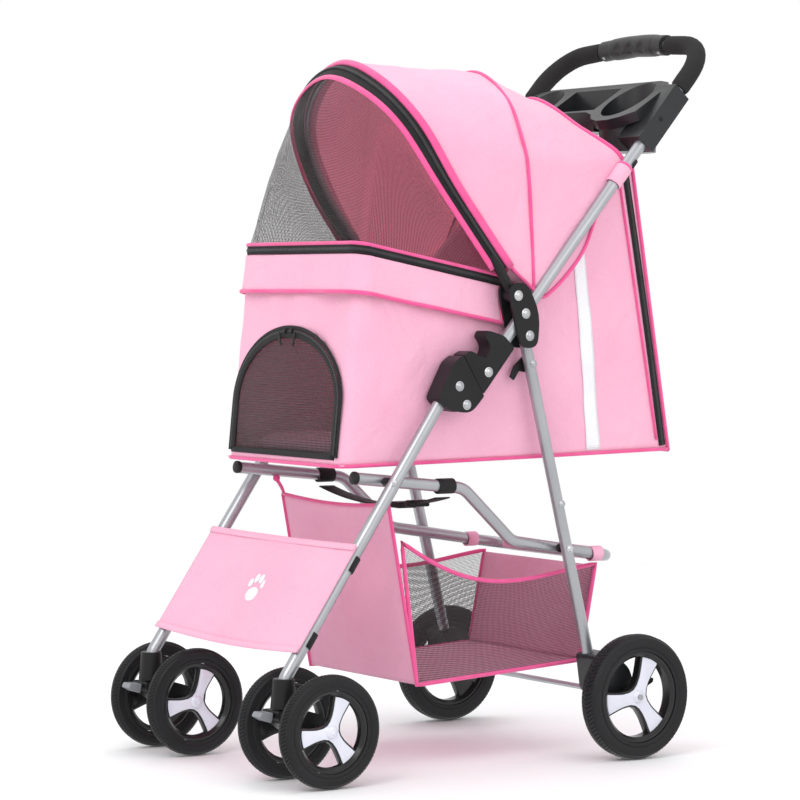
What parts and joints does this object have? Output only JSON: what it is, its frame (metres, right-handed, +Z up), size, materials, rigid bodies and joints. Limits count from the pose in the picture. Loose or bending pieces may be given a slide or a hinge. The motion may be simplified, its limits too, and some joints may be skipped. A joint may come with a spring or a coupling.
{
  "type": "pet stroller",
  "caption": "Folding four-wheel pet stroller: fabric cabin with mesh door and hood window, steel tube frame, swivel front casters, rear brakes, tray with cup holders and a basket.",
  "frame": {"origin": "centre of the object's footprint box, on the floor", "axes": "+Z up; -Y is forward, the way the stroller faces; +X is the stroller's left"},
  "size_m": [0.468, 0.7533, 0.9988],
  "materials": {
    "silver_tube": "silver-grey powder coat, satin",
    "black_plastic": "fine-grained black moulded plastic",
    "charcoal_plastic": "charcoal moulded plastic, satin",
    "black_foam": "closed-cell foam sleeve",
    "grip_rubber": "moulded rubber grip with dents",
    "tyre_rubber": "EVA tyre with fine tread",
    "rim_black": "black moulded rim",
    "pink_fabric": "light pink coated polyester, fine weave",
    "black_mesh": "black polyester mesh",
    "black_webbing": "woven black webbing",
    "grey_plastic": "grey moulded plastic",
    "board": "stiffened board",
    "axle_steel": "zinc-plated steel"
  },
  "bodies": {
    "rear_frame": {"rear_leg_left": "silver_tube", "rear_leg_right": "silver_tube", "rear_axle": "axle_steel", "brake_housing_left": "charcoal_plastic", "brake_housing_right": "charcoal_plastic"},
    "handle_frame": {"handle_tube": "silver_tube", "foam_sleeve_left": "black_foam", "foam_sleeve_right": "black_foam", "centre_grip": "grip_rubber", "tray": "charcoal_plastic", "hinge_plate_outer_left": "black_plastic", "hinge_plate_outer_right": "black_plastic", "hinge_plate_inner_left": "black_plastic", "hinge_plate_inner_right": "black_plastic", "rim_band": "silver_tube", "cabin_tub": "pink_fabric", "floor_board": "board", "cushion": "pink_fabric"},
    "front_frame": {"front_leg_left": "silver_tube", "front_leg_right": "silver_tube", "latch_housing_left": "black_plastic", "latch_housing_right": "black_plastic", "leg_guard": "pink_fabric", "caster_socket_left": "black_plastic", "caster_socket_right": "black_plastic"},
    "u_bar_frame": {"u_bar": "silver_tube", "bar_plug_left": "black_plastic", "bar_plug_right": "black_plastic", "basket": "pink_fabric", "cabin_strap": "black_webbing"},
    "hood": {"hood_hoop": "silver_tube", "hood_socket_left": "black_plastic", "hood_socket_right": "black_plastic", "canopy": "pink_fabric", "mesh_window": "black_mesh"},
    "door": {"front_door": "black_mesh"},
    "latch_slide_left": {"latch_slide_left": "black_plastic"},
    "caster_left": {"caster_fork_left": "black_plastic", "front_axle_left": "axle_steel"},
    "swivel_lock_left": {"swivel_lock_left": "grey_plastic"},
    "front_wheel_outer_left": {"front_tyre_outer_left": "tyre_rubber", "front_rim_outer_left": "rim_black"},
    "front_wheel_inner_left": {"front_tyre_inner_left": "tyre_rubber", "front_rim_inner_left": "rim_black"},
    "rear_wheel_left": {"rear_tyre_left": "tyre_rubber", "rear_rim_left": "rim_black"},
    "brake_pedal_left": {"brake_pedal_left": "charcoal_plastic"},
    "latch_slide_right": {"latch_slide_right": "black_plastic"},
    "caster_right": {"caster_fork_right": "black_plastic", "front_axle_right": "axle_steel"},
    "swivel_lock_right": {"swivel_lock_right": "grey_plastic"},
    "front_wheel_outer_right": {"front_tyre_outer_right": "tyre_rubber", "front_rim_outer_right": "rim_black"},
    "front_wheel_inner_right": {"front_tyre_inner_right": "tyre_rubber", "front_rim_inner_right": "rim_black"},
    "rear_wheel_right": {"rear_tyre_right": "tyre_rubber", "rear_rim_right": "rim_black"},
    "brake_pedal_right": {"brake_pedal_right": "charcoal_plastic"}
  },
  "joints": [
    {"name": "frame_fold", "type": "hinge", "parent": "handle_frame", "child": "front_frame", "pos_m": [0, -0.06515, 0.4817], "axis": [1, 0, 0], "range_deg": [0, 130], "deforming": ["cabin_tub", "cushion", "floor_board", "basket", "cabin_strap", "canopy", "mesh_window", "leg_guard", "front_door"]},
    {"name": "rear_leg_fold", "type": "hinge", "parent": "rear_frame", "child": "handle_frame", "pos_m": [0, 0.03825, 0.5723], "axis": [-1, 0, 0], "range_deg": [0, 88.4]},
    {"name": "u_bar_fold", "type": "hinge", "parent": "rear_frame", "child": "u_bar_frame", "pos_m": [0, 0.11415, 0.285], "axis": [-1, 0, 0], "range_deg": [0, 33.8]},
    {"name": "hood_fold", "type": "hinge", "parent": "handle_frame", "child": "hood", "pos_m": [0, 0.01865, 0.6255], "axis": [-1, 0, 0], "range_deg": [0, 52], "deforming": ["canopy", "mesh_window"]},
    {"name": "door_drop", "type": "hinge", "parent": "handle_frame", "child": "door", "pos_m": [0, -0.23585, 0.4115], "axis": [1, 0, 0], "range_deg": [0, 100]},
    {"name": "latch_release_left", "type": "slide", "parent": "handle_frame", "child": "latch_slide_left", "axis": [0, 0.6481, 0.7615], "range_m": [0, 0.0115], "stiffness_N_per_m": 300, "springref_m": -0.005},
    {"name": "caster_swivel_left", "type": "hinge", "parent": "front_frame", "child": "caster_left", "pos_m": [0.168, -0.33635, 0.105], "axis": [0, 0, 1], "continuous": true},
    {"name": "swivel_lock_left", "type": "hinge", "parent": "caster_left", "child": "swivel_lock_left", "pos_m": [0.167, -0.35635, 0.091], "axis": [1, 0, 0], "range_deg": [0, 14]},
    {"name": "front_wheel_outer_left_spin", "type": "hinge", "parent": "caster_left", "child": "front_wheel_outer_left", "pos_m": [0.21475, -0.29735, 0.073], "axis": [1, 0, 0], "continuous": true},
    {"name": "front_wheel_inner_left_spin", "type": "hinge", "parent": "caster_left", "child": "front_wheel_inner_left", "pos_m": [0.11725, -0.29735, 0.073], "axis": [1, 0, 0], "continuous": true},
    {"name": "rear_wheel_left_spin", "type": "hinge", "parent": "rear_frame", "child": "rear_wheel_left", "pos_m": [0.2185, 0.19465, 0.085], "axis": [1, 0, 0], "continuous": true},
    {"name": "brake_pedal_left", "type": "hinge", "parent": "rear_frame", "child": "brake_pedal_left", "pos_m": [0.178, 0.21065, 0.103], "axis": [-1, 0, 0], "range_deg": [0, 20]},
    {"name": "latch_release_right", "type": "slide", "parent": "handle_frame", "child": "latch_slide_right", "axis": [0, 0.6481, 0.7615], "range_m": [0, 0.0115], "stiffness_N_per_m": 300, "springref_m": -0.005},
    {"name": "caster_swivel_right", "type": "hinge", "parent": "front_frame", "child": "caster_right", "pos_m": [-0.168, -0.33635, 0.105], "axis": [0, 0, 1], "continuous": true},
    {"name": "swivel_lock_right", "type": "hinge", "parent": "caster_right", "child": "swivel_lock_right", "pos_m": [-0.167, -0.35635, 0.091], "axis": [1, 0, 0], "range_deg": [0, 14]},
    {"name": "front_wheel_outer_right_spin", "type": "hinge", "parent": "caster_right", "child": "front_wheel_outer_right", "pos_m": [-0.21475, -0.29735, 0.073], "axis": [1, 0, 0], "continuous": true},
    {"name": "front_wheel_inner_right_spin", "type": "hinge", "parent": "caster_right", "child": "front_wheel_inner_right", "pos_m": [-0.11725, -0.29735, 0.073], "axis": [1, 0, 0], "continuous": true},
    {"name": "rear_wheel_right_spin", "type": "hinge", "parent": "rear_frame", "child": "rear_wheel_right", "pos_m": [-0.2185, 0.19465, 0.085], "axis": [1, 0, 0], "continuous": true},
    {"name": "brake_pedal_right", "type": "hinge", "parent": "rear_frame", "child": "brake_pedal_right", "pos_m": [-0.178, 0.21065, 0.103], "axis": [-1, 0, 0], "range_deg": [0, 20]}
  ],
  "couplings": [
    {"joint": "rear_leg_fold", "follows": "frame_fold", "ratio": 0.68},
    {"joint": "u_bar_fold", "follows": "frame_fold", "ratio": 0.26}
  ]
}
